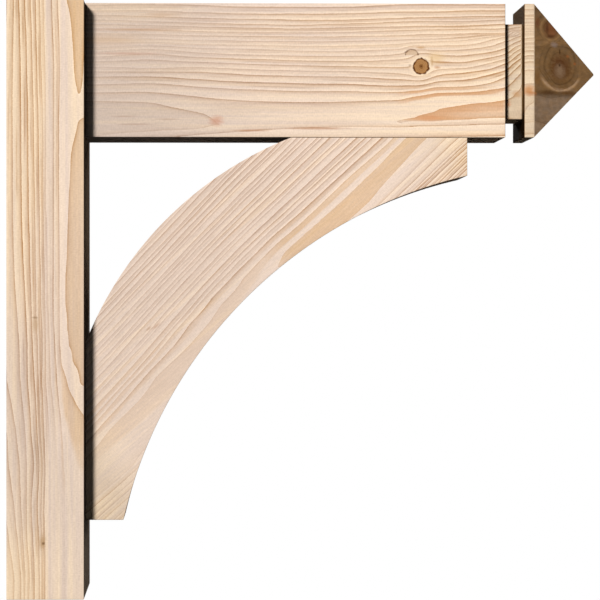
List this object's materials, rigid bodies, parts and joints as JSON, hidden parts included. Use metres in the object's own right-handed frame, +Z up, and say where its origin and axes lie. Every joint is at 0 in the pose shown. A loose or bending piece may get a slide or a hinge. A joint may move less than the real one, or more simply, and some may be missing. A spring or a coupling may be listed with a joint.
{
  "type": "outlooker",
  "caption": "Timber roof outlooker: wall post, beam with a cut-in neck, thin collar and four-sided point, and a curved brace under the beam.",
  "frame": {"origin": "centre of the post's flat wall face", "axes": "+X straight out from the wall, along the beam to its point; +Y along the wall; +Z up"},
  "size_m": [0.6096, 0.1396, 0.6096],
  "materials": {
    "fir": "smooth planed, unfinished"
  },
  "bodies": {
    "root": {"post": "fir", "beam": "fir", "brace": "fir"}
  },
  "joints": []
}
